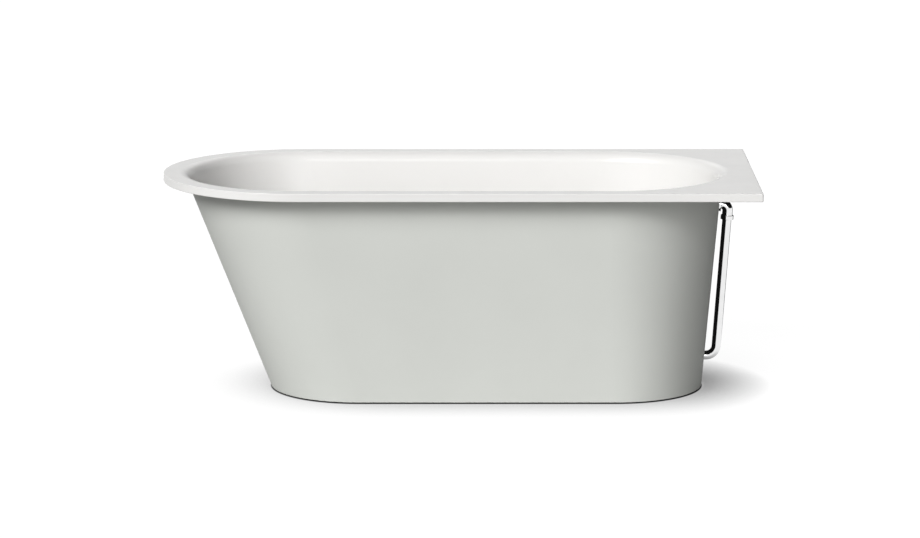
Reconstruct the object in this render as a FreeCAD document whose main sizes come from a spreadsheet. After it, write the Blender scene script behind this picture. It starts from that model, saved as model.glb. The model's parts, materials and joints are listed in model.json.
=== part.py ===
import FreeCAD, Part
import math
import os
import re
import Sketcher
from FreeCAD import Placement, Rotation, Vector

# Frame: X runs from the round head end to the square foot end, Y to the wall behind, Z up.
# The origin lies on the floor, below the middle of the rim. All lengths in mm, angles in degrees.
SIZES = {
    # Rim, seen from above: a half round at the head end, two square corners at the foot end
    "bath_length": 1600,
    "bath_width": 750,
    "bath_height": 594,
    "rim_thickness": 22,
    "rim_side": 42.5,
    "rim_head": 46.2,
    "rim_foot": 67.7,
    "rim_corner": 4,
    "rim_edge": 2,
    "lip_radius": 30,
    # Tub inside the rim
    "floor_height": 158,
    "head_slope": 26,
    "foot_slope": 12,
    "side_slope": 9.2,
    "floor_round": 100,
    "tub_wall": 7,
    # Skirt, set back from the rim and drawn in towards the floor
    "skirt_wall": 4,
    "skirt_gap": 0.8,
    "base_head": 287,
    "base_foot": 134,
    "base_side": 132,
    "floor_gap": 4,
    "service_width": 150,
    "service_height": 130,
    # Board under the tub, rails and feet
    "board_inset": 460,
    "board_clear": 11,
    "board_width": 270,
    "board_thickness": 16,
    "rail_inset": 60,
    "rail_height": 34,
    "rail_crown": 34,
    "rail_lip": 15,
    "rail_sheet": 2,
    "screw_spread": 105,
    "screw_radius": 2,
    "screw_head": 4.5,
    "screw_head_depth": 2.5,
    "screw_length": 16,
    "cap_depth": 9,
    "cap_height": 20,
    "foot_inset": 54,
    "rod_radius": 6,
    "rod_play": 0.05,
    "rod_headroom": 8,
    "rod_hexagon": 11,
    "rod_hexagon_depth": 8,
    "nut_hexagon": 11,
    "nut_depth": 10,
    "lock_nut_depth": 6,
    "pad_radius": 25,
    "pad_neck": 12,
    "pad_height": 18,
    "pad_sole": 6,
    "pad_crown": 2,
    # Waste in the tub floor
    "waste_inset": 345,
    "waste_hole": 26,
    "waste_seat_depth": 3,
    "waste_seat_radius": 37,
    "waste_boss_radius": 44,
    "waste_boss": 4,
    "flange_radius": 35,
    "flange_plate": 2.5,
    "flange_edge": 1,
    "flange_dish": 2,
    "flange_dish_depth": 4,
    "waste_seal_depth": 1.5,
    "under_seal_depth": 3,
    "tail_radius": 24,
    "tail_bore": 20,
    "tail_length": 46,
    "back_nut_radius": 40,
    "back_nut_depth": 10,
    "thread_play": 0.1,
    "cross_width": 5,
    "cross_depth": 8,
    "cross_drop": 20,
    "hub_radius": 8,
    "cartridge_radius": 6.4,
    "cartridge_pin": 4,
    "cartridge_gap": 1,
    "plug_play": 0.08,
    "plug_radius": 31,
    "plug_edge": 2,
    "plug_dome": 3,
    "plug_flat": 12.4,
    "plug_shoulder": 6.2,
    "plug_shoulder_drop": 1.2,
    "plug_sleeve": 2.5,
    "sleeve_gap": 3,
    "plug_seal_radius": 25,
    "plug_seal_depth": 2,
    "plug_seal_width": 4,
    "plug_rest": 0.05,
    # Trap and outlet
    "trap_radius": 21,
    "trap_bore": 18.5,
    "trap_bend": 30,
    "trap_span": 63,
    "trap_rise": 62,
    "trap_dip": 56,
    "trap_collar": 23.5,
    "trap_collar_depth": 4,
    "joint_seal": 2,
    "trap_nut_radius": 34,
    "trap_nut_shoulder": 5,
    "trap_nut_grip": 17,
    "outlet_run": 20,
    "outlet_radius": 20,
    "outlet_bore": 18,
    "outlet_back": 45,
    "outlet_push": 60,
    "outlet_bead": 22,
    "outlet_bead_width": 3,
    # Overflow
    "overflow_drop": 85.5,
    "overflow_hole": 17,
    "overflow_cut": 42,
    "overflow_gasket": 2,
    "overflow_flange": 24,
    "overflow_flange_depth": 3,
    "elbow_radius": 14.2,
    "elbow_bore": 10.5,
    "elbow_bend": 17.5,
    "elbow_reach": 44.5,
    "elbow_leg": 33,
    "elbow_collar": 15.2,
    "elbow_collar_depth": 7,
    "spider_width": 3,
    "spider_depth": 4,
    "spider_hub": 5,
    "cover_radius": 34,
    "cover_stand": 6,
    "cover_depth": 7,
    "cover_dome": 2,
    "cover_wall": 2,
    "cover_screw": 2.5,
    "cover_screw_head": 5,
    "cover_screw_rise": 2,
    "cover_screw_edge": 1,
    "ring_radius": 22,
    "ring_depth": 5,
    "ring_play": 0.7,
    "pipe_radius": 12.5,
    "pipe_bore": 11,
    "pipe_lean": 4,
    "pipe_bend": 28,
    "pipe_drop": 76,
    "coupling_radius": 17.7,
    "coupling_edge": 1,
    "coupling_grip": 6,
    "coupling_seal": 3,
    "coupling_shoulder": 3,
    "hole_play": 1.2,
    "grommet_lip": 3,
    "grommet_depth": 3,
    "grommet_recess": 1.5,
    "inlet_radius": 16,
    "inlet_reach": 58,
    "inlet_socket": 22,
    "inlet_nut_radius": 23,
}

doc = FreeCAD.newDocument("bathtub")
sheet = doc.addObject("Spreadsheet::Sheet", "dims")
for row, (alias, size) in enumerate(SIZES.items(), start=1):
    sheet.set(f"A{row}", alias)
    sheet.set(f"B{row}", str(size))
    sheet.setAlias(f"B{row}", alias)
doc.recompute()

parts = []


def formula(text):
    """Turn the words of a size formula into references to the sheet."""
    return re.sub(r"[a-z]+(?:_[a-z]+)+", lambda word: "dims." + word.group(0), str(text))


def number(text):
    """Work a size formula out from the sheet as it stands."""
    return float(sheet.evalExpression(formula(text)))


def bind(thing, prop, text):
    thing.setExpression(prop, formula(text))


def place(thing, x="0", y="0", z="0", axis=None, angle="0"):
    """Bind the place of a sub-part, turned about one axis where that is given."""
    turn = Rotation(axis, 1) if axis else Rotation()
    thing.Placement = Placement(Vector(), turn)
    if axis:
        bind(thing, "Placement.Rotation.Angle", angle)
    for letter, text in zip("xyz", (x, y, z)):
        bind(thing, f"Placement.Base.{letter}", text)


def new_body(label):
    body = doc.addObject("PartDesign::Body", label)
    body.Label = label
    parts.append(body)
    return body


def new_sketch(body, name, plane, offset="0"):
    """Start a sketch on one of the body's own planes, at an offset along that plane's normal."""
    sketch = body.newObject("Sketcher::SketchObject", f"{body.Name}_{name}")
    support = [item for item in body.Origin.OriginFeatures if item.Role == plane][0]
    sketch.AttachmentSupport = [(support, "")]
    sketch.MapMode = "FlatFace"
    bind(sketch, "AttachmentOffset.Base.z", offset)
    return sketch


def tilt_sketch(sketch, x, z, angle):
    """Stand a sketch of the XY plane on a point of the XZ plane, its normal turned about Y."""
    sketch.AttachmentOffset = Placement(Vector(), Rotation(Vector(0, 1, 0), 1))
    bind(sketch, "AttachmentOffset.Rotation.Angle", angle)
    bind(sketch, "AttachmentOffset.Base.x", x)
    bind(sketch, "AttachmentOffset.Base.z", z)


def fix_point(sketch, curve, end, x, y):
    """Hold one point of a sketch at two sheet-driven coordinates."""
    for kind, text in (("DistanceX", x), ("DistanceY", y)):
        index = sketch.addConstraint(Sketcher.Constraint(kind, curve, end, number(text)))
        bind(sketch, f"Constraints[{index}]", text)


def set_size(sketch, kind, curve, text):
    index = sketch.addConstraint(Sketcher.Constraint(kind, curve, number(text)))
    bind(sketch, f"Constraints[{index}]", text)


def draw_polygon(sketch, points):
    """Draw a closed outline of straight lines through sheet-driven points."""
    spots = [Vector(number(x), number(y), 0) for x, y in points]
    for start, end in zip(spots, spots[1:] + spots[:1]):
        sketch.addGeometry(Part.LineSegment(start, end), False)
    count = len(points)
    for index, (x, y) in enumerate(points):
        sketch.addConstraint(Sketcher.Constraint("Coincident", index, 2, (index + 1) % count, 1))
        fix_point(sketch, index, 1, x, y)


def draw_rectangle(sketch, x0, y0, x1, y1):
    draw_polygon(sketch, [(x0, y0), (x1, y0), (x1, y1), (x0, y1)])


def draw_circle(sketch, radius, x="0", y="0"):
    centre = Vector(number(x), number(y), 0)
    curve = sketch.addGeometry(Part.Circle(centre, Vector(0, 0, 1), number(radius)), False)
    fix_point(sketch, curve, 3, x, y)
    set_size(sketch, "Radius", curve, radius)


def quarter(sketch, centre, radius, start):
    """Add a quarter arc that starts at an angle given in quarter turns."""
    circle = Part.Circle(centre, Vector(0, 0, 1), radius)
    turn = math.pi / 2
    return sketch.addGeometry(Part.ArcOfCircle(circle, start * turn, (start + 1) * turn), False)


def draw_oval(sketch, head, foot, half):
    """Draw two straight sides joined by two half rounds, each as two quarter arcs."""
    radius = number(half)
    head_x = number(head) + radius
    foot_x = number(foot) - radius
    front = sketch.addGeometry(
        Part.LineSegment(Vector(head_x, -radius, 0), Vector(foot_x, -radius, 0)), False)
    foot_arcs = [quarter(sketch, Vector(foot_x, 0, 0), radius, start) for start in (3, 0)]
    back = sketch.addGeometry(
        Part.LineSegment(Vector(foot_x, radius, 0), Vector(head_x, radius, 0)), False)
    head_arcs = [quarter(sketch, Vector(head_x, 0, 0), radius, start) for start in (1, 2)]
    ring = [front, *foot_arcs, back, *head_arcs]
    for curve, following in zip(ring, ring[1:] + ring[:1]):
        sketch.addConstraint(Sketcher.Constraint("Coincident", curve, 2, following, 1))
    for arcs, centre in ((foot_arcs, f"{foot} - {half}"), (head_arcs, f"{head} + {half}")):
        first, second = arcs
        sketch.addConstraint(Sketcher.Constraint("Coincident", first, 3, second, 3))
        fix_point(sketch, first, 3, centre, "0")
        set_size(sketch, "Radius", first, half)
        sketch.addConstraint(Sketcher.Constraint("PointOnObject", first, 2, -1))
        sketch.addConstraint(Sketcher.Constraint("Vertical", first, 1, first, 3))
        sketch.addConstraint(Sketcher.Constraint("Vertical", second, 2, second, 3))


def draw_bent_line(sketch, points, radius):
    """Draw a run of straight lines through sheet-driven points, its corners rounded to one radius."""
    spots = [Vector(number(x), number(y), 0) for x, y in points]
    bend = number(radius)
    arcs = []
    for before, corner, after in zip(spots, spots[1:], spots[2:]):
        incoming = (corner - before).normalize()
        outgoing = (after - corner).normalize()
        turn = incoming.getAngle(outgoing)
        reach = bend * math.tan(turn / 2)
        first = corner - incoming * reach
        last = corner + outgoing * reach
        inward = (outgoing - incoming).normalize()
        middle = corner + inward * (bend / math.cos(turn / 2) - bend)
        arcs.append((first, middle, last))
    starts = [spots[0]] + [arc[2] for arc in arcs]
    ends = [arc[0] for arc in arcs] + [spots[-1]]
    lines = [sketch.addGeometry(Part.LineSegment(start, end), False)
             for start, end in zip(starts, ends)]
    fix_point(sketch, lines[0], 1, *points[0])
    fix_point(sketch, lines[-1], 2, *points[-1])
    for index, (first, middle, last) in enumerate(arcs):
        arc = sketch.addGeometry(Part.Arc(first, middle, last), False)
        start_is_first = sketch.getPoint(arc, 1).distanceToPoint(first) < 0.001
        near, far = (1, 2) if start_is_first else (2, 1)
        corner = sketch.addGeometry(Part.Point(spots[index + 1]), True)
        fix_point(sketch, corner, 1, *points[index + 1])
        for line in lines[index:index + 2]:
            sketch.addConstraint(Sketcher.Constraint("PointOnObject", corner, 1, line))
        sketch.addConstraint(Sketcher.Constraint("Tangent", lines[index], 2, arc, near))
        sketch.addConstraint(Sketcher.Constraint("Tangent", arc, far, lines[index + 1], 1))
        set_size(sketch, "Radius", arc, radius)


def pad(body, sketch, length, reverse=False, middle=False):
    feature = body.newObject("PartDesign::Pad", f"{sketch.Name}_pad")
    feature.Profile = sketch
    bind(feature, "Length", length)
    feature.Reversed = reverse
    feature.Midplane = middle
    return feature


def pocket(body, sketch, length, reverse=False, middle=False):
    """Cut an outline out of a body, and make sure that the cut has found material."""
    doc.recompute()
    before = body.Shape.Volume
    feature = body.newObject("PartDesign::Pocket", f"{sketch.Name}_pocket")
    feature.Profile = sketch
    bind(feature, "Length", length)
    feature.Reversed = reverse
    feature.Midplane = middle
    doc.recompute()
    if body.Shape.Volume > before - 0.01:
        raise ValueError(f"{feature.Name} removes nothing")
    return feature


def turn_round(body, sketch):
    feature = body.newObject("PartDesign::Revolution", f"{sketch.Name}_turned")
    feature.Profile = sketch
    feature.ReferenceAxis = (sketch, ["V_Axis"])
    feature.Angle = 360
    return feature


def loft(body, kind, lower, upper):
    feature = body.newObject(f"PartDesign::{kind}", f"{lower.Name}_loft")
    feature.Profile = lower
    feature.Sections = [upper]
    feature.Ruled = True
    return feature


def sweep(body, kind, profile, spine):
    doc.recompute()
    feature = body.newObject(f"PartDesign::{kind}", f"{profile.Name}_sweep")
    feature.Profile = profile
    edges = [f"Edge{index + 1}" for index in range(len(spine.Shape.Edges))]
    feature.Spine = (spine, edges)
    return feature


def round_edges(body, name, radius, wanted):
    """Round those edges of a body for which the test holds."""
    doc.recompute()
    base = body.Tip
    names = [f"Edge{index}" for index, edge in enumerate(base.Shape.Edges, start=1) if wanted(edge)]
    if not names:
        raise ValueError(f"{body.Label} {name}: no edge to round")
    feature = body.newObject("PartDesign::Fillet", f"{body.Name}_{name}")
    feature.Base = (base, names)
    bind(feature, "Radius", radius)
    doc.recompute()
    if "Invalid" in feature.State or feature.Shape.isNull():
        raise ValueError(f"{feature.Name}: {feature.State}")
    return feature


def is_level(height):
    """Test for edges that lie at one height."""
    return lambda edge: all(
        abs(edge.valueAt(edge.FirstParameter + share * (edge.LastParameter - edge.FirstParameter)).z
            - height) < 0.01 for share in (0, 0.3, 1))


def is_upright(edge):
    return len(edge.Vertexes) == 2 and edge.Vertexes[0].Point.distanceToPoint(
        Vector(edge.Vertexes[0].X, edge.Vertexes[0].Y, edge.Vertexes[1].Z)) > 1


def turned_part(label, outline, **where):
    """Make a round sub-part from its half section, given as radius and height pairs."""
    body = new_body(label)
    sketch = new_sketch(body, "section", "XZ_Plane")
    draw_polygon(sketch, outline)
    turn_round(body, sketch)
    place(body, **where)
    return body


def ring_outline(inner, outer, low, high):
    return [(inner, low), (outer, low), (outer, high), (inner, high)]


def solid(kind, name, sizes, **where):
    """Make a plain block, cylinder or prism with bound sizes."""
    shape = doc.addObject(f"Part::{kind}", name)
    for prop, text in sizes.items():
        bind(shape, prop, text)
    place(shape, **where)
    return shape


def cut(label, base, tool):
    result = doc.addObject("Part::Cut", label)
    result.Label = label
    result.Base = base
    result.Tool = tool
    return result


def fuse(label, pieces):
    result = doc.addObject("Part::MultiFuse", label)
    result.Label = label
    result.Shapes = pieces
    return result


def group(label, pieces):
    """Gather identical fasteners in one sub-part, each as its own solid."""
    result = doc.addObject("Part::Compound", label)
    result.Label = label
    result.Links = pieces
    parts.append(result)
    return result


def hexagon_nut(label, radius, bores, **where):
    """Make a six-sided nut whose bore runs through zones given as radius, low and high."""
    body = new_body(label)
    low = bores[0][1]
    high = bores[-1][2]
    outside = new_sketch(body, "outside", "XY_Plane", low)
    flats = [(f"{radius} * cos({60 * side})", f"{radius} * sin({60 * side})") for side in range(6)]
    draw_polygon(outside, flats)
    pad(body, outside, f"{high} - {low}")
    for index, (bore, start, end) in enumerate(bores):
        hole = new_sketch(body, f"bore_{index}", "XY_Plane", end)
        draw_circle(hole, bore)
        pocket(body, hole, f"{end} - {start}")
    place(body, **where)
    return body


# Levels and outlines that several sub-parts share
rim_under = "(bath_height - rim_thickness)"
tub_under = "(floor_height - tub_wall)"
board_under = f"({tub_under} - board_thickness)"
web_under = f"({board_under} - rail_height)"
web_top = f"({web_under} + rail_sheet)"
waste_x = "(bath_length / 2 - waste_inset)"
coupling_end = "(coupling_seal + coupling_shoulder)"
board_head = "(board_inset - bath_length / 2)"


def tub_outline(height, outward="0"):
    """Head tip, foot tip and half width of the tub's inside at a height, moved outward level."""
    drop = f"(bath_height - {height})"
    head = (f"(-bath_length / 2 + rim_head + lip_radius * tan(45 - head_slope / 2)"
            f" + {drop} * tan(head_slope) - ({outward}))")
    foot = (f"(bath_length / 2 - rim_foot - lip_radius * tan(45 - foot_slope / 2)"
            f" - {drop} * tan(foot_slope) + ({outward}))")
    half = (f"(bath_width / 2 - rim_side - lip_radius * tan(45 - side_slope / 2)"
            f" - {drop} * tan(side_slope) + ({outward}))")
    return head, foot, half


def skirt_top(inward="0"):
    """Outline of the skirt under the rim, where it passes round the tub with a clearance."""
    return tub_outline(rim_under, f"tub_wall + skirt_gap + skirt_wall - ({inward})")


def skirt_base(inward="0"):
    """Outline of the skirt at its lower edge."""
    return (f"(-bath_length / 2 + base_head + ({inward}))",
            f"(bath_length / 2 - base_foot - ({inward}))",
            f"(bath_width / 2 - base_side - ({inward}))")


def skirt_at(height):
    """Head tip, foot tip and half width of the skirt's outside at a height."""
    share = f"(({height} - floor_gap) / ({rim_under} - floor_gap))"
    return tuple(f"({low} + ({high} - {low}) * {share})" for low, high in zip(skirt_base(), skirt_top()))


# Axis of the overflow: it leaves the tub wall at a right angle, at the foot end
overflow_height = "(bath_height - overflow_drop)"
overflow_x = tub_outline(overflow_height)[1]
overflow_angle = "90 + foot_slope"
overflow_axis = dict(x=overflow_x, z=overflow_height, axis=Vector(0, 1, 0), angle=overflow_angle)
wall_through = "(tub_wall * cos(foot_slope))"
flange_near = f"({wall_through} + overflow_gasket)"


def on_overflow(reach):
    """Point of the XZ plane on the overflow axis, at a reach from the inside of the tub wall."""
    return (f"({overflow_x} + ({reach}) * cos(foot_slope))",
            f"({overflow_height} - ({reach}) * sin(foot_slope))")


# Axis of the pipe: it leaves the elbow's corner and leans towards the skirt on its way down
corner_x, corner_z = on_overflow("elbow_reach")


def on_pipe(reach):
    return (f"({corner_x} - ({reach}) * sin(pipe_lean))",
            f"({corner_z} - ({reach}) * cos(pipe_lean))")


elbow_end = on_pipe("elbow_leg")
pipe_axis = dict(x=elbow_end[0], z=elbow_end[1], axis=Vector(0, 1, 0), angle="180 + pipe_lean")
pipe_level = "(floor_height - pipe_drop)"
inlet_end = f"({waste_x} + inlet_reach)"
pipe_foot_x = f"({corner_x} - ({corner_z} - {pipe_level}) * tan(pipe_lean))"
inlet_axis = dict(x=inlet_end, z=pipe_level, axis=Vector(0, 1, 0), angle="90")


# Shell: rim slab with the tub hung from it
shell = new_body("bath_shell")
rim = new_sketch(shell, "rim", "XY_Plane", rim_under)
rim_half = "(bath_width / 2)"
rim_foot_x = "(bath_length / 2)"
rim_centre = f"(-bath_length / 2 + {rim_half})"
half_value = number(rim_half)
foot_value = number(rim_foot_x)
centre_value = number(rim_centre)
rim_spots = [Vector(centre_value, -half_value, 0), Vector(foot_value, -half_value, 0),
             Vector(foot_value, half_value, 0), Vector(centre_value, half_value, 0)]
for start, end in zip(rim_spots, rim_spots[1:]):
    rim.addGeometry(Part.LineSegment(start, end), False)
for start in (1, 2):
    quarter(rim, Vector(centre_value, 0, 0), half_value, start)
for curve in range(5):
    rim.addConstraint(Sketcher.Constraint("Coincident", curve, 2, (curve + 1) % 5, 1))
fix_point(rim, 1, 1, rim_foot_x, f"-{rim_half}")
fix_point(rim, 1, 2, rim_foot_x, rim_half)
rim.addConstraint(Sketcher.Constraint("Coincident", 3, 3, 4, 3))
fix_point(rim, 3, 3, rim_centre, "0")
set_size(rim, "Radius", 3, rim_half)
rim.addConstraint(Sketcher.Constraint("PointOnObject", 3, 2, -1))
rim.addConstraint(Sketcher.Constraint("Vertical", 3, 1, 3, 3))
rim.addConstraint(Sketcher.Constraint("Vertical", 4, 2, 4, 3))
pad(shell, rim, "rim_thickness")
round_edges(shell, "corners", "rim_corner",
            lambda edge: is_upright(edge) and edge.Vertexes[0].X > foot_value - 0.01)
rim_levels = [is_level(number("bath_height")), is_level(number(rim_under))]
round_edges(shell, "edges", "rim_edge", lambda edge: any(test(edge) for test in rim_levels))

outside_low = new_sketch(shell, "outside_low", "XY_Plane", tub_under)
draw_oval(outside_low, *tub_outline(tub_under, "tub_wall"))
outside_high = new_sketch(shell, "outside_high", "XY_Plane", rim_under)
draw_oval(outside_high, *tub_outline(rim_under, "tub_wall"))
loft(shell, "AdditiveLoft", outside_low, outside_high)

inside_low = new_sketch(shell, "inside_low", "XY_Plane", "floor_height")
draw_oval(inside_low, *tub_outline("floor_height"))
inside_high = new_sketch(shell, "inside_high", "XY_Plane", "bath_height")
draw_oval(inside_high, *tub_outline("bath_height"))
loft(shell, "SubtractiveLoft", inside_low, inside_high)
round_edges(shell, "inside_round", "floor_round", is_level(number("floor_height")))
mouth = [number(text) for text in tub_outline("bath_height")]
is_top = is_level(number("bath_height"))


def is_mouth(edge):
    """Test for the edges of the tub's mouth, which lie well inside the rim's outer edge."""
    if not is_top(edge):
        return False
    box = edge.BoundBox
    inside_y = max(abs(box.YMin), abs(box.YMax)) < mouth[2] + 1
    return inside_y and mouth[0] - 1 < box.XMin and box.XMax < mouth[1] + 1


round_edges(shell, "lip", "lip_radius", is_mouth)
round_edges(shell, "outside_round", "floor_round + tub_wall", is_level(number(tub_under)))

boss = new_sketch(shell, "waste_boss", "XY_Plane", tub_under)
draw_circle(boss, "waste_boss_radius", waste_x)
pad(shell, boss, "waste_boss", reverse=True)
seat = new_sketch(shell, "waste_seat", "XY_Plane", "floor_height")
draw_circle(seat, "waste_seat_radius", waste_x)
pocket(shell, seat, "waste_seat_depth")
drain = new_sketch(shell, "waste_hole", "XY_Plane", "floor_height")
draw_circle(drain, "waste_hole", waste_x)
pocket(shell, drain, "tub_wall + waste_boss")
spill = new_sketch(shell, "overflow_hole", "XY_Plane")
tilt_sketch(spill, overflow_x, overflow_height, overflow_angle)
draw_circle(spill, "overflow_hole")
pocket(shell, spill, "overflow_cut", middle=True)

# Skirt: a tapered oval sleeve, open at the back for the outlet, with two holes for the overflow
skirt = new_body("outer_skirt")
for kind, inward in (("AdditiveLoft", "0"), ("SubtractiveLoft", "skirt_wall")):
    skirt_low = new_sketch(skirt, f"{kind}_low", "XY_Plane", "floor_gap")
    draw_oval(skirt_low, *skirt_base(inward))
    skirt_high = new_sketch(skirt, f"{kind}_high", "XY_Plane", rim_under)
    draw_oval(skirt_high, *skirt_top(inward))
    loft(skirt, kind, skirt_low, skirt_high)
service = new_sketch(skirt, "service", "XZ_Plane")
draw_rectangle(service, f"{waste_x} - service_width / 2", "floor_gap",
               f"{waste_x} + service_width / 2", "floor_gap + service_height")
pocket(skirt, service, "bath_width / 2")
elbow_hole = new_sketch(skirt, "elbow_hole", "XY_Plane")
tilt_sketch(elbow_hole, *on_overflow("elbow_reach"), overflow_angle)
draw_circle(elbow_hole, "elbow_radius + hole_play")
pocket(skirt, elbow_hole, "2 * elbow_reach", middle=True)
pipe_hole = new_sketch(skirt, "pipe_hole", "XY_Plane")
tilt_sketch(pipe_hole, skirt_base()[1], pipe_level, "90")
draw_circle(pipe_hole, "pipe_radius + hole_play")
pocket(skirt, pipe_hole, "base_foot", middle=True)

# Board under the tub floor, short of the waste, drilled for the rail screws
board_foot = f"({waste_x} - waste_boss_radius - board_clear)"
rail_places = (("head_rail", f"({board_head} + rail_inset)"), ("foot_rail", f"({board_foot} - rail_inset)"))
cap_end = f"({skirt_at(f'({web_under} + cap_height / 2)')[2]} - skirt_wall / 2)"
rail_half = f"({cap_end} - cap_depth)"
foot_spread = f"({rail_half} - foot_inset)"
screw_side = "(rail_crown / 2 + rail_lip / 2)"
screw_spots = [(f"({rail_x} + {side} * {screw_side})", f"({end} * screw_spread)")
               for _, rail_x in rail_places for side in (-1, 1) for end in (-1, 1)]
foot_ends = (("front", f"-{foot_spread}"), ("back", foot_spread))
board = new_body("base_board")
board_sheet = new_sketch(board, "sheet", "XY_Plane", board_under)
draw_rectangle(board_sheet, board_head, "-board_width / 2", board_foot, "board_width / 2")
pad(board, board_sheet, "board_thickness")
screw_top = f"({board_under} - rail_sheet + screw_length)"
pilots = new_sketch(board, "pilots", "XY_Plane", screw_top)
for x, y in screw_spots:
    draw_circle(pilots, "screw_radius", x, y)
pocket(board, pilots, "screw_length")

# Rails: hat section, lips screwed to the board, crown down for the feet
for label, rail_x in rail_places:
    rail = new_body(label)
    section = new_sketch(rail, "section", "XZ_Plane")
    outer = "rail_crown / 2"
    inner = "(rail_crown / 2 - rail_sheet)"
    brim = "(rail_crown / 2 + rail_lip)"
    lip_under = f"({board_under} - rail_sheet)"
    right_side = [(outer, web_under), (outer, lip_under), (brim, lip_under),
                  (brim, board_under), (inner, board_under), (inner, web_top)]
    left_side = [(f"-{x}", z) for x, z in reversed(right_side)]
    draw_polygon(section, right_side + left_side)
    pad(rail, section, f"2 * {rail_half}", middle=True)
    rod_holes = new_sketch(rail, "rod_holes", "XY_Plane", web_top)
    for _, foot_y in foot_ends:
        draw_circle(rod_holes, "rod_radius + rod_play", "0", foot_y)
    pocket(rail, rod_holes, "rail_sheet")
    screw_holes = new_sketch(rail, "screw_holes", "XY_Plane", board_under)
    for side in (-1, 1):
        for end in (-1, 1):
            draw_circle(screw_holes, "screw_radius", f"{side} * {screw_side}", f"{end} * screw_spread")
    pocket(rail, screw_holes, "rail_sheet")
    place(rail, x=rail_x)

# Screws of the rails
screws = []
for index, (x, y) in enumerate(screw_spots):
    head = solid("Cylinder", f"screw_head_{index}", {"Radius": "screw_head", "Height": "screw_head_depth"},
                 x=x, y=y, z=f"{board_under} - rail_sheet - screw_head_depth")
    shank = solid("Cylinder", f"screw_shank_{index}", {"Radius": "screw_radius", "Height": "screw_length"},
                  x=x, y=y, z=f"{board_under} - rail_sheet")
    screws.append(fuse(f"screw_{index}", [head, shank]))
group("rail_screws", screws)

# Caps on the rail ends, shaped to the skirt, which they steady from inside
caps = []
for label, rail_x in rail_places:
    for side, low_y in (("front", f"-{cap_end}"), ("back", rail_half)):
        block = solid("Box", f"cap_block_{side}_{label}", {
            "Length": "rail_crown", "Width": f"{cap_end} - {rail_half}", "Height": "cap_height"},
            x=f"{rail_x} - rail_crown / 2", y=low_y, z=web_under)
        caps.append(cut(f"cap_{side}_{label}", block, skirt))
group("rail_end_caps", caps)

# Feet: captive nut over the web, lock nut under it, rod with a spanner hexagon, swivel pad
rod_top = f"({board_under} - rod_headroom)"
nut_kinds = (("captive_nuts", web_top, "nut_depth"),
             ("lock_nuts", f"({web_under} - lock_nut_depth)", "lock_nut_depth"))
foot_spots = [(f"{side}_{label.split('_')[0]}", rail_x, foot_y)
              for label, rail_x in rail_places for side, foot_y in foot_ends]
for label, low, depth in nut_kinds:
    nuts = []
    for name, x, y in foot_spots:
        block = solid("Prism", f"{label}_block_{name}", {"Circumradius": "nut_hexagon", "Height": depth},
                      x=x, y=y, z=low)
        bore = solid("Cylinder", f"{label}_bore_{name}",
                     {"Radius": "rod_radius + rod_play", "Height": depth}, x=x, y=y, z=low)
        nuts.append(cut(f"{label}_{name}", block, bore))
    group(label, nuts)
for name, x, y in foot_spots:
    turned_part(f"pad_{name}", [
        ("0", "0"), ("pad_radius", "0"), ("pad_radius", "pad_sole / 2"), ("pad_neck", "pad_sole + pad_crown"),
        ("pad_neck", "pad_height"), ("rod_radius + rod_play", "pad_height"),
        ("rod_radius + rod_play", "pad_sole"), ("0", "pad_sole")], x=x, y=y)
    rod = new_body(f"rod_{name}")
    shank = new_sketch(rod, "shank", "XY_Plane", "pad_sole")
    draw_circle(shank, "rod_radius")
    pad(rod, shank, f"{rod_top} - pad_sole")
    spanner = new_sketch(rod, "spanner", "XY_Plane", "pad_height")
    draw_polygon(spanner, [(f"rod_hexagon * cos({60 * side})", f"rod_hexagon * sin({60 * side})")
                           for side in range(6)])
    pad(rod, spanner, "rod_hexagon_depth")
    place(rod, x=x, y=y)

# Waste: flange in the floor's seat, clamped from below by the back nut
waste_axis = dict(x=waste_x)
seat_level = "(floor_height - waste_seat_depth)"
flange_under = f"({seat_level} + waste_seal_depth)"
flange_top = f"({flange_under} + flange_plate)"
tail_end = f"({flange_top} - tail_length)"
boss_under = f"({tub_under} - waste_boss)"
back_nut_top = f"({boss_under} - under_seal_depth)"
cross_top = f"({flange_top} - cross_drop)"
cross_under = f"({cross_top} - cross_depth)"
flange = turned_part("waste_flange", [
    ("tail_bore", tail_end), ("tail_radius", tail_end), ("tail_radius", flange_under),
    ("flange_radius", flange_under), ("flange_radius", f"{flange_top} - flange_edge"),
    ("flange_radius - flange_edge", flange_top), ("tail_bore + flange_dish", flange_top),
    ("tail_bore", f"{flange_top} - flange_dish_depth")],
    **waste_axis)
cross_reach = "((tail_bore + tail_radius) / 2)"
for name, half_x, half_y in (("arm_x", cross_reach, "(cross_width / 2)"),
                             ("arm_y", "(cross_width / 2)", cross_reach)):
    arm = new_sketch(flange, name, "XY_Plane", cross_under)
    draw_rectangle(arm, f"-{half_x}", f"-{half_y}", half_x, half_y)
    pad(flange, arm, "cross_depth")
hub = new_sketch(flange, "hub", "XY_Plane", cross_under)
draw_circle(hub, "hub_radius")
pad(flange, hub, "cross_depth")
pin_hole = new_sketch(flange, "pin_hole", "XY_Plane", cross_top)
draw_circle(pin_hole, "cartridge_pin")
pocket(flange, pin_hole, "cross_depth")
turned_part("waste_top_seal", ring_outline(
    "waste_hole", "flange_radius", seat_level, flange_under), **waste_axis)
turned_part("waste_under_seal", ring_outline(
    "tail_radius", "back_nut_radius * cos(30)", back_nut_top, boss_under), **waste_axis)
hexagon_nut("waste_nut", "back_nut_radius", [
    ("(tail_radius + thread_play)", f"({back_nut_top} - back_nut_depth)", back_nut_top)], **waste_axis)

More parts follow.
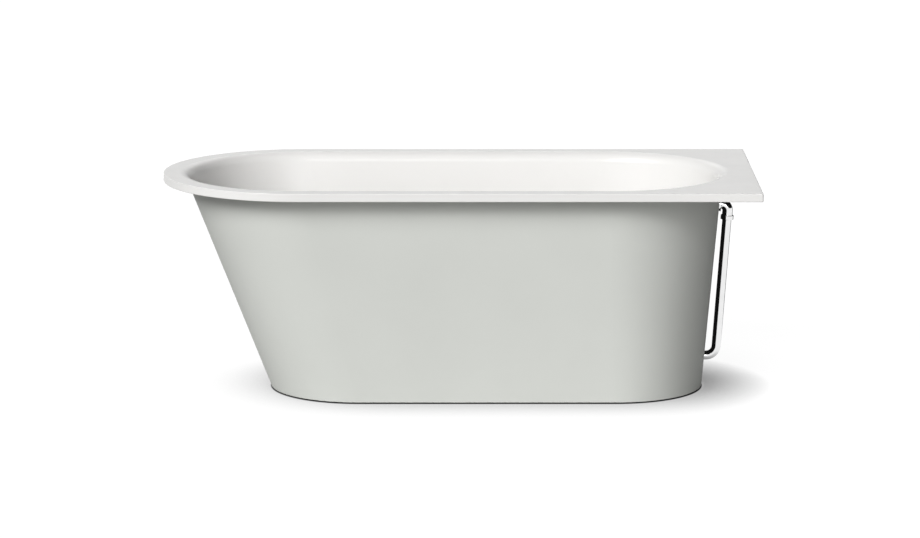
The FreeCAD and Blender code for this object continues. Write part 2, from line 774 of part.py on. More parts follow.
# Plug: a cap whose sleeve slides on the push cartridge in the middle of the waste
cap_under = f"({flange_top} + plug_rest + plug_seal_depth)"
sleeve_bore = "(cartridge_radius + plug_play)"
sleeve_under = f"({cross_top} + sleeve_gap)"
cap_top = f"({cap_under} + plug_edge)"
cap_crown = f"({cap_top} + plug_dome)"
cartridge_top = f"({cap_under} - cartridge_gap)"
turned_part("plug_cartridge", [
    ("0", cross_under), ("cartridge_pin", cross_under), ("cartridge_pin", cross_top),
    ("cartridge_radius", cross_top), ("cartridge_radius", cartridge_top), ("0", cartridge_top)],
    **waste_axis)
turned_part("waste_plug", [
    ("0", cap_under), (sleeve_bore, cap_under), (sleeve_bore, sleeve_under),
    (f"{sleeve_bore} + plug_sleeve", sleeve_under), (f"{sleeve_bore} + plug_sleeve", cap_under),
    ("plug_radius", cap_under), ("plug_radius", cap_top),
    ("plug_radius - plug_shoulder", f"{cap_crown} - plug_shoulder_drop"),
    ("plug_flat", cap_crown), ("0", cap_crown)], **waste_axis)
turned_part("plug_seal", ring_outline(
    "plug_seal_radius", "plug_seal_radius + plug_seal_width", f"{cap_under} - plug_seal_depth", cap_under),
    **waste_axis)

# Trap: hangs from the waste tail, takes the overflow pipe at its side and leads to the wall
trap_top = f"({tail_end} - joint_seal)"
trap_low = f"({pipe_level} - trap_dip)"
outlet_level = f"({trap_low} + trap_rise)"
trap_end = "(trap_span + trap_bend + outlet_run)"
trap = new_body("trap_body")
trap_path = new_sketch(trap, "path", "YZ_Plane")
draw_bent_line(trap_path, [("0", trap_top), ("0", trap_low), ("trap_span", trap_low),
                           ("trap_span", outlet_level), (trap_end, outlet_level)], "trap_bend")
trap_round = new_sketch(trap, "round", "XY_Plane", trap_top)
draw_circle(trap_round, "trap_radius")
sweep(trap, "AdditivePipe", trap_round, trap_path)
collar = new_sketch(trap, "collar", "XY_Plane", trap_top)
draw_circle(collar, "trap_collar")
pad(trap, collar, "trap_collar_depth", reverse=True)
inlet = new_sketch(trap, "inlet", "YZ_Plane")
draw_circle(inlet, "inlet_radius", "0", pipe_level)
pad(trap, inlet, "inlet_reach")
trap_hollow = new_sketch(trap, "hollow", "XY_Plane", trap_top)
draw_circle(trap_hollow, "trap_bore")
sweep(trap, "SubtractivePipe", trap_hollow, trap_path)
inlet_bore = new_sketch(trap, "inlet_bore", "YZ_Plane", "inlet_reach")
draw_circle(inlet_bore, "pipe_bore", "0", pipe_level)
pocket(trap, inlet_bore, "inlet_reach")
socket = new_sketch(trap, "socket", "YZ_Plane", "inlet_reach")
draw_circle(socket, "pipe_radius + thread_play", "0", pipe_level)
pocket(trap, socket, "inlet_socket")
place(trap, **waste_axis)
turned_part("trap_seal", ring_outline("trap_bore", "trap_collar", trap_top, tail_end), **waste_axis)
collar_under = f"({trap_top} - trap_collar_depth)"
hexagon_nut("trap_nut", "trap_nut_radius", [
    ("(trap_radius + thread_play)", f"({collar_under} - trap_nut_shoulder)", collar_under),
    ("(tail_radius + thread_play)", collar_under, f"({collar_under} + trap_nut_grip)")], **waste_axis)

# Outlet: straight pipe to the wall, held to the trap by a nut over a seal
outlet_axis = dict(x=waste_x, y=trap_end, z=outlet_level, axis=Vector(1, 0, 0), angle="-90")
outlet_length = f"(bath_width / 2 - outlet_back - {trap_end})"
bead_far = f"({outlet_length} - outlet_push)"
bead_near = f"({bead_far} - outlet_bead_width)"
turned_part("outlet_pipe", [
    ("outlet_bore", "0"), ("outlet_radius", "0"), ("outlet_radius", bead_near), ("outlet_bead", bead_near),
    ("outlet_bead", bead_far), ("outlet_radius", bead_far), ("outlet_radius", outlet_length),
    ("outlet_bore", outlet_length)], **outlet_axis)
turned_part("outlet_seal", ring_outline(
    "outlet_radius", "trap_radius + thread_play", "0", "coupling_seal"), **outlet_axis)
hexagon_nut("outlet_nut", "trap_nut_radius", [
    ("(trap_radius + thread_play)", "(-outlet_run / 2)", "coupling_seal"),
    ("(outlet_radius + thread_play)", "coupling_seal", coupling_end)], **outlet_axis)

# Overflow elbow: flange behind the tub wall, spider for the cover screw, bend, threaded end
elbow = new_body("overflow_elbow")
elbow_path = new_sketch(elbow, "path", "XZ_Plane")
draw_bent_line(elbow_path, [on_overflow(flange_near), (corner_x, corner_z), elbow_end], "elbow_bend")
elbow_round = new_sketch(elbow, "round", "XY_Plane")
tilt_sketch(elbow_round, *on_overflow(flange_near), overflow_angle)
draw_circle(elbow_round, "elbow_radius")
sweep(elbow, "AdditivePipe", elbow_round, elbow_path)
elbow_flange = new_sketch(elbow, "flange", "XY_Plane")
tilt_sketch(elbow_flange, *on_overflow(flange_near), overflow_angle)
draw_circle(elbow_flange, "overflow_flange")
pad(elbow, elbow_flange, "overflow_flange_depth")
elbow_thread = new_sketch(elbow, "thread", "XY_Plane")
tilt_sketch(elbow_thread, *elbow_end, "180 + pipe_lean")
draw_circle(elbow_thread, "elbow_collar")
pad(elbow, elbow_thread, "elbow_collar_depth", reverse=True)
elbow_hollow = new_sketch(elbow, "hollow", "XY_Plane")
tilt_sketch(elbow_hollow, *on_overflow(flange_near), overflow_angle)
draw_circle(elbow_hollow, "elbow_bore")
sweep(elbow, "SubtractivePipe", elbow_hollow, elbow_path)
spider_reach = "((elbow_bore + elbow_radius) / 2)"
spider_bar = new_sketch(elbow, "spider_bar", "XY_Plane")
tilt_sketch(spider_bar, *on_overflow(flange_near), overflow_angle)
draw_rectangle(spider_bar, "-spider_width / 2", f"-{spider_reach}", "spider_width / 2", spider_reach)
pad(elbow, spider_bar, "spider_depth")
spider_hub = new_sketch(elbow, "spider_hub", "XY_Plane")
tilt_sketch(spider_hub, *on_overflow(flange_near), overflow_angle)
draw_circle(spider_hub, "spider_hub")
pad(elbow, spider_hub, "spider_depth")
spider_hole = new_sketch(elbow, "spider_hole", "XY_Plane")
tilt_sketch(spider_hole, *on_overflow(f"{flange_near} + spider_depth"), overflow_angle)
draw_circle(spider_hole, "cover_screw")
pocket(elbow, spider_hole, "spider_depth")

# Overflow cover: stands off the wall on its stem, held by one screw into the spider
cover_back = "(-cover_stand)"
cover_web = "(-cover_stand - cover_wall)"
cover_face = "(-cover_stand - cover_depth)"
screw_face = f"({cover_face} - cover_screw_rise)"
turned_part("overflow_cover", [
    ("cover_screw", cover_face), ("cover_screw", flange_near), ("spider_hub", flange_near),
    ("spider_hub", cover_web), ("cover_radius - cover_wall", cover_web),
    ("cover_radius - cover_wall", cover_back), ("cover_radius", cover_back),
    ("cover_radius", f"{cover_face} + cover_dome"), ("cover_radius - cover_dome", cover_face)],
    **overflow_axis)
turned_part("overflow_screw", [
    ("0", screw_face), ("cover_screw_head - cover_screw_edge", screw_face),
    ("cover_screw_head", f"{screw_face} + cover_screw_edge"), ("cover_screw_head", cover_face),
    ("cover_screw", cover_face), ("cover_screw", f"{flange_near} + spider_depth"),
    ("0", f"{flange_near} + spider_depth")], **overflow_axis)

# Gasket of the overflow, moulded to the outside of the tub wall
gasket_block = turned_part("gasket_block", ring_outline(
    "overflow_hole", "overflow_flange", f"{wall_through} / 2", flange_near), **overflow_axis)
parts.remove(gasket_block)
parts.append(cut("overflow_gasket", gasket_block, shell))

# Ring on the skirt round the elbow, shaped to the skirt
ring_height = on_overflow("elbow_reach / 2")[1]
ring_x = skirt_at(ring_height)[1]
skirt_lean = f"atan(({ring_x} - {skirt_base()[1]}) / ({ring_height} - floor_gap))"
ring_block = turned_part("ring_block", ring_outline(
    "elbow_radius + ring_play", "ring_radius", "-skirt_wall / 2", "ring_depth"),
    x=ring_x, z=ring_height, axis=Vector(0, 1, 0), angle=f"90 deg + {skirt_lean}")
parts.remove(ring_block)
parts.append(cut("overflow_ring", ring_block, skirt))

# Coupling nut and seal between elbow and pipe, measured along the pipe from the elbow's end
turned_part("overflow_seal", ring_outline(
    "pipe_radius", "elbow_collar", "0", "coupling_seal"), **pipe_axis)
turned_part("overflow_nut", [
    ("elbow_collar + thread_play", "-coupling_grip"), ("coupling_radius - coupling_edge", "-coupling_grip"),
    ("coupling_radius", "coupling_edge - coupling_grip"),
    ("coupling_radius", f"{coupling_end} - coupling_edge"),
    ("coupling_radius - coupling_edge", coupling_end), ("pipe_radius + thread_play", coupling_end),
    ("pipe_radius + thread_play", "coupling_seal"), ("elbow_collar + thread_play", "coupling_seal")],
    **pipe_axis)

# Overflow pipe: down outside the skirt, bent back in to the trap
pipe = new_body("overflow_pipe")
pipe_path = new_sketch(pipe, "path", "XZ_Plane")
pipe_end = f"({inlet_end} - inlet_socket)"
draw_bent_line(pipe_path, [elbow_end, (pipe_foot_x, pipe_level), (pipe_end, pipe_level)], "pipe_bend")
for kind, radius in (("AdditivePipe", "pipe_radius"), ("SubtractivePipe", "pipe_bore")):
    pipe_round = new_sketch(pipe, f"{kind}_round", "XY_Plane")
    tilt_sketch(pipe_round, *elbow_end, "180 + pipe_lean")
    draw_circle(pipe_round, radius)
    sweep(pipe, kind, pipe_round, pipe_path)

# Grommet of the lower hole: a sleeve inside the hole with a lip on the inner face of the skirt
grommet_axis = dict(x=skirt_at(pipe_level)[1], z=pipe_level, axis=Vector(0, 1, 0), angle="90")
grommet_hole = "(pipe_radius + hole_play)"
grommet_back = "-skirt_wall - grommet_depth"
grommet_block = turned_part("grommet_block", [
    ("pipe_radius", grommet_back), (f"{grommet_hole} + grommet_lip", grommet_back),
    (f"{grommet_hole} + grommet_lip", "-skirt_wall / 2"), (grommet_hole, "-grommet_recess"),
    ("pipe_radius", "-grommet_recess")],
    **grommet_axis)
parts.remove(grommet_block)
parts.append(cut("pipe_grommet", grommet_block, skirt))

# Nut and seal where the pipe enters the trap, measured outward from the end of the inlet
turned_part("inlet_seal", ring_outline("pipe_radius", "inlet_radius", "0", "coupling_seal"), **inlet_axis)
hexagon_nut("inlet_nut", "inlet_nut_radius", [
    ("(inlet_radius + thread_play)", "(-2 * coupling_grip)", "coupling_seal"),
    ("(pipe_radius + thread_play)", "coupling_seal", coupling_end)], **inlet_axis)

# Check every object, then write one file per sub-part
doc.recompute()
for item in doc.Objects:
    if "Invalid" in item.State or "Error" in item.State:
        raise ValueError(f"{item.Label}: {item.State}")
os.makedirs("parts", exist_ok=True)
for item in parts:
    shape = item.Shape
    if shape.isNull() or not shape.isValid():
        raise ValueError(f"{item.Label}: no valid shape")
    shape.exportStep(f"parts/{item.Label}.step")
    print(item.Label, len(shape.Solids), round(shape.Volume), shape.BoundBox)
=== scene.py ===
import json
import math

import bpy
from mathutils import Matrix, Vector


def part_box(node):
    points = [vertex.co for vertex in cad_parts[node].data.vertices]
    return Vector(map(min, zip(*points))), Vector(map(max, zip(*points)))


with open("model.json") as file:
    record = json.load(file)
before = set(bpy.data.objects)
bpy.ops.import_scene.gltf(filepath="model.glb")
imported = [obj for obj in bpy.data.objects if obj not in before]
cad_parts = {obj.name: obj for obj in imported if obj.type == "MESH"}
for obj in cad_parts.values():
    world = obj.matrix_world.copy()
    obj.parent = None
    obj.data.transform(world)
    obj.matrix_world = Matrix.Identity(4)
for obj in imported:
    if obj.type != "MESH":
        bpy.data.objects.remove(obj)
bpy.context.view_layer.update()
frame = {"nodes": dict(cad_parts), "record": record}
nodes = frame["nodes"]

# Which finish each sub-part has, by the record's material slots
slot_of = {item["node"]: item["material_slot"] for item in frame["record"]["subparts"]}


def srgb(red, green, blue):
    """Colour for a shader from 8-bit screen values."""
    def linear(value):
        share = value / 255
        return share / 12.92 if share <= 0.04045 else ((share + 0.055) / 1.055) ** 2.4
    return (linear(red), linear(green), linear(blue), 1.0)


class Finish:
    """A material whose colour, gloss and fine relief come from textures fixed to the object."""

    def __init__(self, name, **constants):
        self.material = bpy.data.materials.new(name)
        self.material.use_nodes = True
        self.tree = self.material.node_tree
        self.shader = self.tree.nodes["Principled BSDF"]
        self.place = self.add("ShaderNodeTexCoord").outputs["Object"]
        for socket, value in constants.items():
            self.shader.inputs[socket.replace("_", " ")].default_value = value

    def add(self, kind, inputs=None, **settings):
        node = self.tree.nodes.new(kind)
        for name, value in settings.items():
            setattr(node, name, value)
        for socket, value in (inputs or {}).items():
            self.feed(node.inputs[socket], value)
        return node

    def feed(self, socket, value):
        if isinstance(value, bpy.types.NodeSocket):
            self.tree.links.new(value, socket)
        else:
            socket.default_value = value

    def stretched(self, scale):
        """The place on the object, stretched by a factor along each axis."""
        return self.add("ShaderNodeMapping", {"Vector": self.place, "Scale": scale}).outputs["Vector"]

    def noise(self, scale, detail=2.0, place=None):
        return self.add("ShaderNodeTexNoise", {
            "Vector": place or self.place, "Scale": scale, "Detail": detail}).outputs["Fac"]

    def cells(self, scale, output="Color", place=None):
        return self.add("ShaderNodeTexVoronoi", {
            "Vector": place or self.place, "Scale": scale}).outputs[output]

    def spread(self, value, low, high, start=0.3, end=0.7):
        """A texture's middle range, spread over two values."""
        return self.add("ShaderNodeMapRange", {
            "Value": value, "From Min": start, "From Max": end,
            "To Min": low, "To Max": high}).outputs["Result"]

    def tint(self, value, stops):
        """A colour ramp through stops, each a place from 0 to 1 and a colour."""
        node = self.add("ShaderNodeValToRGB", {"Fac": value})
        ramp = node.color_ramp
        while len(ramp.elements) < len(stops):
            ramp.elements.new(1.0)
        for element, (place, colour) in zip(ramp.elements, stops):
            element.position = place
            element.color = colour
        return node.outputs["Color"]

    def blend(self, share, first, second):
        """Two colours mixed by a share; the node keeps its colour sockets behind those of other types."""
        node = self.add("ShaderNodeMix", data_type="RGBA")
        shown = [socket for socket in node.inputs if socket.enabled]
        for socket, value in zip(shown, (share, first, second)):
            self.feed(socket, value)
        return next(socket for socket in node.outputs if socket.enabled)

    def math(self, operation, first, second):
        node = self.add("ShaderNodeMath", operation=operation)
        for socket, value in zip(node.inputs, (first, second)):
            self.feed(socket, value)
        return node.outputs["Value"]

    def relief(self, height, depth, strength=1.0):
        """Fine relief on the surface; the depth is in metres."""
        bump = self.add("ShaderNodeBump", {"Height": height, "Distance": depth, "Strength": strength})
        self.feed(self.shader.inputs["Normal"], bump.outputs["Normal"])

    def colour(self, value):
        self.feed(self.shader.inputs["Base Color"], value)

    def gloss(self, value):
        self.feed(self.shader.inputs["Roughness"], value)

    def outward(self, head, foot, middle):
        """0 on faces that look in to the long middle line of the bath and 1 on those that look away."""
        normal = self.add("ShaderNodeSeparateXYZ", {
            "Vector": self.add("ShaderNodeTexCoord").outputs["Normal"]}).outputs
        spot = self.add("ShaderNodeSeparateXYZ", {"Vector": self.place}).outputs
        nearest = self.math("MINIMUM", self.math("MAXIMUM", spot["X"], head), foot)
        along = self.math("MULTIPLY", normal["X"], self.math("SUBTRACT", spot["X"], nearest))
        across = self.math("MULTIPLY", normal["Y"], spot["Y"])
        upward = self.math("MULTIPLY", normal["Z"], self.math("SUBTRACT", spot["Z"], middle))
        facing = self.math("ADD", self.math("ADD", along, across), upward)
        return self.math("GREATER_THAN", facing, 0.0)


# Levels and middle line of the bath, for finishes that differ between its faces
FACE_GAP = 0.001
RIM_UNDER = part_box("outer_skirt")[1].z
MIDDLE_HEAD = -0.27
MIDDLE_FOOT = 0.40

# Thread of the feet: bands of the wave texture per metre for the pitch, which repeats 20 times in 2 pi
THREAD_PITCH = 0.00175
THREAD_DEPTH = 0.001
THREAD_WAVES = 2 * math.pi / 20 / THREAD_PITCH
HEXAGON_TOP = 0.0265


def white_shell():
    """Gloss white sheet, with rough laminate on the hidden outside of the tub."""
    finish = Finish("white_shell", IOR=1.49, Specular_IOR_Level=0.3)
    cloud = finish.noise(2.5, detail=3.0)
    white = finish.tint(cloud, [(0.3, srgb(235, 234, 232)), (0.7, srgb(238, 237, 235))])
    strands = finish.noise(60.0, detail=6.0, place=finish.stretched((1.0, 4.0, 2.5)))
    laminate = finish.tint(strands, [(0.35, srgb(196, 188, 160)), (0.65, srgb(226, 221, 203))])
    height = finish.add("ShaderNodeSeparateXYZ", {"Vector": finish.place}).outputs["Z"]
    below = finish.math("LESS_THAN", height, RIM_UNDER - FACE_GAP)
    hidden = finish.math("MULTIPLY", below, finish.outward(MIDDLE_HEAD, MIDDLE_FOOT, RIM_UNDER))
    finish.colour(finish.blend(hidden, white, laminate))
    sheen = finish.spread(finish.noise(9.0, detail=4.0), 0.2, 0.27)
    finish.gloss(finish.math("ADD", sheen, finish.math("MULTIPLY", hidden, 0.5)))
    ripple = finish.math("MULTIPLY", finish.noise(11.0), 0.03)
    rough = finish.math("MULTIPLY", hidden, strands)
    finish.relief(finish.math("ADD", ripple, rough), 0.0006, 0.5)
    return finish.material


def skirt_colour():
    """Matt grey-green paint outside, bare laminate inside."""
    finish = Finish("skirt_colour", IOR=1.45, Specular_IOR_Level=0.15)
    cloud = finish.noise(3.0, detail=4.0)
    paint = finish.tint(cloud, [(0.3, srgb(214, 216, 211)), (0.7, srgb(218, 220, 215))])
    strands = finish.noise(70.0, detail=6.0, place=finish.stretched((4.0, 4.0, 1.5)))
    laminate = finish.tint(strands, [(0.35, srgb(178, 175, 160)), (0.65, srgb(214, 212, 200))])
    outside = finish.outward(MIDDLE_HEAD, MIDDLE_FOOT, RIM_UNDER)
    finish.colour(finish.blend(outside, laminate, paint))
    sheen = finish.spread(finish.noise(12.0, detail=4.0), 0.54, 0.62)
    finish.gloss(sheen)
    grain = finish.math("MULTIPLY", finish.noise(900.0, detail=1.0), 0.25)
    inside = finish.math("SUBTRACT", 1.0, outside)
    finish.relief(finish.math("ADD", grain, finish.math("MULTIPLY", inside, strands)), 0.0004, 0.35)
    return finish.material


def chrome_fittings():
    """Bright plating with faint smudges and water marks."""
    finish = Finish("chrome_fittings", Metallic=1.0)
    smudge = finish.noise(45.0, detail=5.0)
    finish.colour(finish.tint(smudge, [(0.3, (0.79, 0.79, 0.79, 1)), (0.7, (0.83, 0.83, 0.832, 1))]))
    marks = finish.cells(140.0, output="Distance")
    dull = finish.spread(smudge, 0.03, 0.09, 0.4, 0.7)
    finish.gloss(finish.math("ADD", dull, finish.spread(marks, 0.03, 0.0, 0.0, 0.25)))
    finish.relief(finish.noise(60.0, detail=1.0), 0.00004, 0.3)
    return finish.material


def zinc_steel(name="zinc_steel", thread_above=None):
    """Zinc-plated sheet and rods: grey spangle with brighter rubbed patches, and a thread above a height."""
    finish = Finish(name, Metallic=1.0)
    spangle = finish.add("ShaderNodeSeparateColor", {"Color": finish.cells(160.0)}).outputs["Red"]
    patches = finish.noise(25.0, detail=5.0)
    mixed = finish.math("ADD", finish.math("MULTIPLY", spangle, 0.5), finish.math("MULTIPLY", patches, 0.5))
    finish.colour(finish.tint(mixed, [(0.2, srgb(158, 162, 166)), (0.8, srgb(206, 207, 205))]))
    finish.gloss(finish.spread(patches, 0.28, 0.46))
    grain = finish.noise(600.0, detail=3.0)
    if thread_above is None:
        finish.relief(grain, 0.0002, 0.3)
        return finish.material
    ridges = finish.add("ShaderNodeTexWave", {"Vector": finish.place, "Scale": THREAD_WAVES},
                        bands_direction="Z", wave_profile="TRI").outputs["Fac"]
    height = finish.add("ShaderNodeSeparateXYZ", {"Vector": finish.place}).outputs["Z"]
    cut = finish.math("MULTIPLY", finish.math("GREATER_THAN", height, thread_above), ridges)
    finish.relief(finish.math("ADD", cut, finish.math("MULTIPLY", grain, 0.1)), THREAD_DEPTH, 1.0)
    return finish.material


def board():
    """Pressed wood chips under a thin coat of resin."""
    finish = Finish("board")
    chips = finish.cells(190.0, place=finish.stretched((0.35, 1.0, 1.0)))
    shade = finish.add("ShaderNodeSeparateColor", {"Color": chips}).outputs["Green"]
    fibre = finish.noise(420.0, detail=4.0, place=finish.stretched((0.2, 1.0, 1.0)))
    tone = finish.math("ADD", finish.math("MULTIPLY", shade, 0.7), finish.math("MULTIPLY", fibre, 0.3))
    finish.colour(finish.tint(tone, [
        (0.1, srgb(134, 98, 62)), (0.5, srgb(187, 150, 104)), (0.9, srgb(220, 190, 144))]))
    finish.gloss(finish.spread(fibre, 0.62, 0.8))
    finish.relief(tone, 0.0006, 0.5)
    return finish.material


def black_plastic():
    """Moulded black plastic with a fine stipple and dusty high spots."""
    finish = Finish("black_plastic", IOR=1.5)
    dust = finish.noise(70.0, detail=5.0)
    finish.colour(finish.tint(dust, [(0.35, srgb(26, 27, 28)), (0.75, srgb(46, 46, 46))]))
    finish.gloss(finish.spread(dust, 0.42, 0.6))
    finish.relief(finish.noise(1300.0, detail=1.0), 0.0003, 0.4)
    return finish.material


def white_plastic():
    """White moulded pipe plastic with faint flow lines."""
    finish = Finish("white_plastic", IOR=1.5)
    flow = finish.noise(30.0, detail=4.0, place=finish.stretched((1.0, 1.0, 4.0)))
    finish.colour(finish.tint(flow, [(0.3, srgb(226, 226, 221)), (0.7, srgb(236, 236, 233))]))
    finish.gloss(finish.spread(flow, 0.28, 0.4))
    finish.relief(finish.noise(700.0, detail=2.0), 0.00015, 0.3)
    return finish.material


def seal_rubber():
    """Black rubber with a grey bloom."""
    finish = Finish("seal_rubber", IOR=1.52)
    bloom = finish.noise(110.0, detail=6.0)
    finish.colour(finish.tint(bloom, [(0.4, srgb(22, 22, 22)), (0.8, srgb(52, 52, 50))]))
    finish.gloss(finish.spread(bloom, 0.6, 0.82))
    finish.relief(finish.noise(1600.0, detail=2.0), 0.0003, 0.4)
    return finish.material


FINISHES = {make.__name__: make() for make in (
    white_shell, skirt_colour, chrome_fittings, zinc_steel, board, black_plastic, white_plastic, seal_rubber)}
rod_finish = zinc_steel("zinc_thread", HEXAGON_TOP)
for name, node in nodes.items():
    node.data.materials.clear()
    node.data.materials.append(rod_finish if name.startswith("rod_") else FINISHES[slot_of[name]])

# Camera at the viewing angle of the photo
IMAGE_WIDTH = 920
FOCAL_PIXELS = 3828.2
SENSOR = 36.0
CAMERA_SPOT = (0.0042, -10.2609, 2.2944)
CAMERA_PITCH = 79.119
lens = bpy.data.cameras.new("camera")
lens.sensor_fit = "HORIZONTAL"
lens.sensor_width = SENSOR
lens.lens = FOCAL_PIXELS / IMAGE_WIDTH * SENSOR
camera = bpy.data.objects.new("camera", lens)
camera.location = CAMERA_SPOT
camera.rotation_euler = (math.radians(CAMERA_PITCH), 0.0, 0.0)
bpy.context.scene.collection.objects.link(camera)
bpy.context.scene.camera = camera

# Soft lamps, each given by the bearing and height it shines from, its spread and its level
LAMPS = [
    ("left", -40, 34, 25, 0.66),
    ("front", -14, 28, 25, 0.36),
    ("low", 14, 8, 25, 0.13),
    ("back", 180, 35, 40, 0.1),
]
for name, bearing, height, spread, level in LAMPS:
    lamp = bpy.data.lights.new(name, "SUN")
    lamp.energy = level * math.pi
    lamp.angle = math.radians(spread)
    holder = bpy.data.objects.new(name, lamp)
    side = math.radians(bearing)
    rise = math.radians(height)
    source = Vector((math.sin(side) * math.cos(rise), -math.cos(side) * math.cos(rise), math.sin(rise)))
    holder.rotation_mode = "QUATERNION"
    holder.rotation_quaternion = source.to_track_quat("Z", "Y")
    bpy.context.scene.collection.objects.link(holder)


def seen_directly(tree):
    """1 for what the camera sees, straight, mirrored or through glass, and 0 for light on other things."""
    path = tree.nodes.new("ShaderNodeLightPath")
    share = path.outputs["Is Camera Ray"]
    for name in ("Is Glossy Ray", "Is Transmission Ray"):
        either = tree.nodes.new("ShaderNodeMath")
        either.operation = "MAXIMUM"
        tree.links.new(share, either.inputs[0])
        tree.links.new(path.outputs[name], either.inputs[1])
        share = either.outputs["Value"]
    return share


# White surroundings that are seen and mirrored but give no light
world = bpy.data.worlds.new("studio")
bpy.context.scene.world = world
world.use_nodes = True
background = world.node_tree.nodes["Background"]
background.inputs["Color"].default_value = (1.0, 1.0, 1.0, 1.0)
world.node_tree.links.new(seen_directly(world.node_tree), background.inputs["Strength"])

# Floor: its own glow, what it scatters, the reach of the painted shadow round the bath, and the skirt's foot
# line, inside which the floor is painted dark
FLOOR_HALF = 12.0
FLOOR_LIFT = 0.98
FLOOR_SEEN = 0.12
FLOOR_BOUNCE = 0.35
FLOOR_RAYS = 12
BRIGHT_SIDE = (-0.66, -0.35, 0.67)
NEAR_BATH = 0.19
NEAR_SHUT = 0.15
ROUND_BATH = 0.45
ROUND_SHARE = 0.2
BASE_HEAD = -0.513
BASE_FOOT = 0.666
BASE_SIDE = 0.243
BASE_EDGE = 0.003


def outside_base(paper):
    """0 on the floor inside the skirt's foot line and 1 outside it, for the painted shade under the bath."""
    spot = paper.add("ShaderNodeSeparateXYZ", {"Vector": paper.place}).outputs
    past_head = paper.math("MAXIMUM", spot["X"], BASE_HEAD + BASE_SIDE)
    middle = paper.math("MINIMUM", past_head, BASE_FOOT - BASE_SIDE)
    along = paper.math("SUBTRACT", spot["X"], middle)
    across = spot["Y"]
    square = paper.math("ADD", paper.math("MULTIPLY", along, along), paper.math("MULTIPLY", across, across))
    apart = paper.math("POWER", square, 0.5)
    return paper.spread(apart, 0.0, 1.0, BASE_SIDE, BASE_SIDE + BASE_EDGE)


def white_floor():
    """Glowing white sheet, with a painted shadow darkening it where the bath shuts off the bright side of the
    room, and painted shade dark under the bath.
    """
    paper = Finish("floor", Roughness=1.0, Specular_IOR_Level=0.0)
    bright_side = paper.add("ShaderNodeNormal").outputs["Normal"]
    bright_side.default_value = BRIGHT_SIDE
    near = paper.add("ShaderNodeAmbientOcclusion", {"Normal": bright_side, "Distance": NEAR_BATH},
                     samples=FLOOR_RAYS).outputs["AO"]
    around = paper.add("ShaderNodeAmbientOcclusion", {"Distance": ROUND_BATH},
                       samples=FLOOR_RAYS).outputs["AO"]
    # painted shadow: the floor's glow is cut by occlusion round the bath and is zero under the bath
    near_painted_light = paper.spread(near, 0.0, 1.0, NEAR_SHUT, 1.0)
    round_painted_light = paper.spread(around, 1.0 - ROUND_SHARE, 1.0, 0.0, 1.0)
    painted_floor_light = paper.math("MULTIPLY", paper.math("MULTIPLY", near_painted_light, round_painted_light), outside_base(paper))
    seen = seen_directly(paper.tree)
    paper.feed(paper.shader.inputs["Emission Color"], painted_floor_light)
    paper.feed(paper.shader.inputs["Emission Strength"], paper.spread(seen, 0.0, FLOOR_LIFT, 0.0, 1.0))
    paper.colour(paper.spread(seen, FLOOR_BOUNCE, FLOOR_SEEN, 0.0, 1.0))
    return paper.material


def panel(name, corners, material):
    """A flat piece of the studio through its corners."""
    mesh = bpy.data.meshes.new(name)
    mesh.from_pydata(corners, [], [tuple(range(len(corners)))])
    mesh.materials.append(material)
    piece = bpy.data.objects.new(name, mesh)
    bpy.context.scene.collection.objects.link(piece)
    return piece


floor_corners = [(x * FLOOR_HALF, y * FLOOR_HALF, 0.0) for x, y in ((-1, -1), (1, -1), (1, 1), (-1, 1))]
floor = panel("floor", floor_corners, white_floor())


def card(name, corners, grey):
    """A studio card that only mirrors see, glowing at a grey level: a painted reflection in the chrome."""
    coat = bpy.data.materials.new(name)
    coat.use_nodes = True
    shader = coat.node_tree.nodes["Principled BSDF"]
    shader.inputs["Base Color"].default_value = (0.0, 0.0, 0.0, 1.0)
    shader.inputs["Specular IOR Level"].default_value = 0.0
    shader.inputs["Emission Color"].default_value = (grey, grey, grey, 1.0)
    shader.inputs["Emission Strength"].default_value = 1.0
    piece = panel(name, corners, coat)
    piece.visible_camera = False
    piece.visible_diffuse = False
    piece.visible_transmission = False
    piece.visible_shadow = False


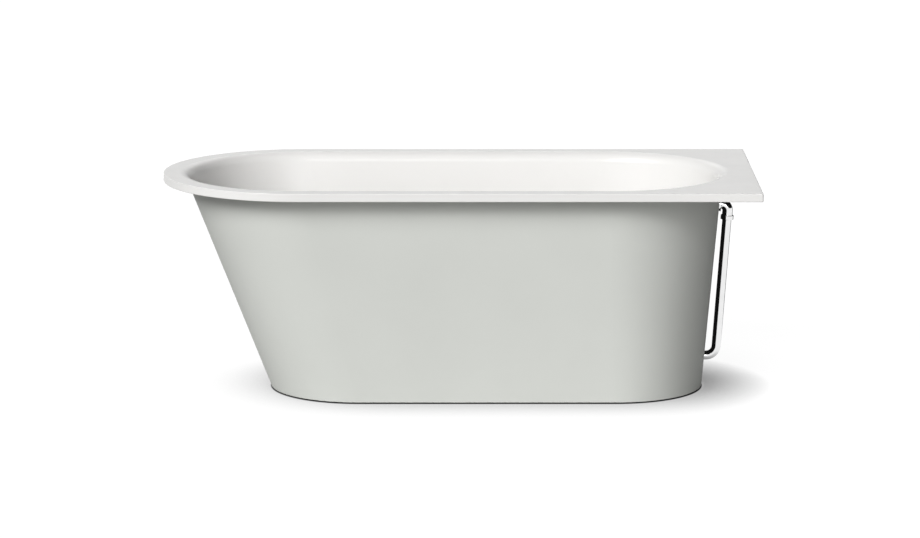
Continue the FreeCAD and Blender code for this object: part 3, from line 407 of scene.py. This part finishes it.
# Painted reflections for the chrome: dark cards beside the pipe, over its lower run, under the rim and past
# it stand in for the shade there, and a glowing grey card stands behind
DARK = 0.006
GREY = 0.12
PIPE_LEAN = 0.07
PIPE_GAP = 0.005
PIPE_FRONT = -0.053
PIPE_BACK = 0.03
RUN_HEIGHT = 0.1
RUN_LENGTH = 0.03
ELBOW_HEIGHT = 0.5
ELBOW_END = 0.74
RIM_REACH = 0.3
PAST_RIM = 0.03
PAST_RIM_LOW = 0.5
PAST_RIM_HIGH = 0.62
BEHIND = 0.5
BEHIND_WIDTH = 0.75
pipe_low, pipe_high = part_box("overflow_pipe")
rim_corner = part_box("bath_shell")[1]


def beside_pipe(height):
    """Place along the bath and height of a spot just left of the leaning pipe."""
    pipe_left = pipe_high.x - (pipe_high.y - pipe_low.y) - (pipe_high.z - height) * PIPE_LEAN
    return pipe_left - PIPE_GAP, height


def across_bath(start, end, front, back):
    """Corners of a card from front to back, between two spots given by place along the bath and height."""
    return [(x, y, z) for (x, z), y in ((start, front), (start, back), (end, back), (end, front))]


run_x, run_z = beside_pipe(RUN_HEIGHT)
card("dark_beside_pipe", across_bath((run_x, run_z), beside_pipe(ELBOW_HEIGHT), PIPE_FRONT, PIPE_BACK), DARK)
card("dark_over_run", across_bath((run_x - RUN_LENGTH, run_z), (run_x, run_z), PIPE_FRONT, PIPE_BACK), DARK)
under_rim = RIM_UNDER - FACE_GAP
card("dark_under_rim",
     across_bath((ELBOW_END, under_rim), (rim_corner.x, under_rim), -RIM_REACH, RIM_REACH), DARK)
past_rim = rim_corner.x + PAST_RIM
card("dark_past_rim",
     across_bath((past_rim, PAST_RIM_LOW), (past_rim, PAST_RIM_HIGH), -RIM_REACH, 2 * RIM_REACH), DARK)
behind_end = pipe_high.x + BEHIND_WIDTH
card("grey_behind",
     [(pipe_high.x, BEHIND, 0.0), (behind_end, BEHIND, 0.0),
      (behind_end, BEHIND, rim_corner.z), (pipe_high.x, BEHIND, rim_corner.z)], GREY)

bpy.context.scene.view_settings.view_transform = "Standard"
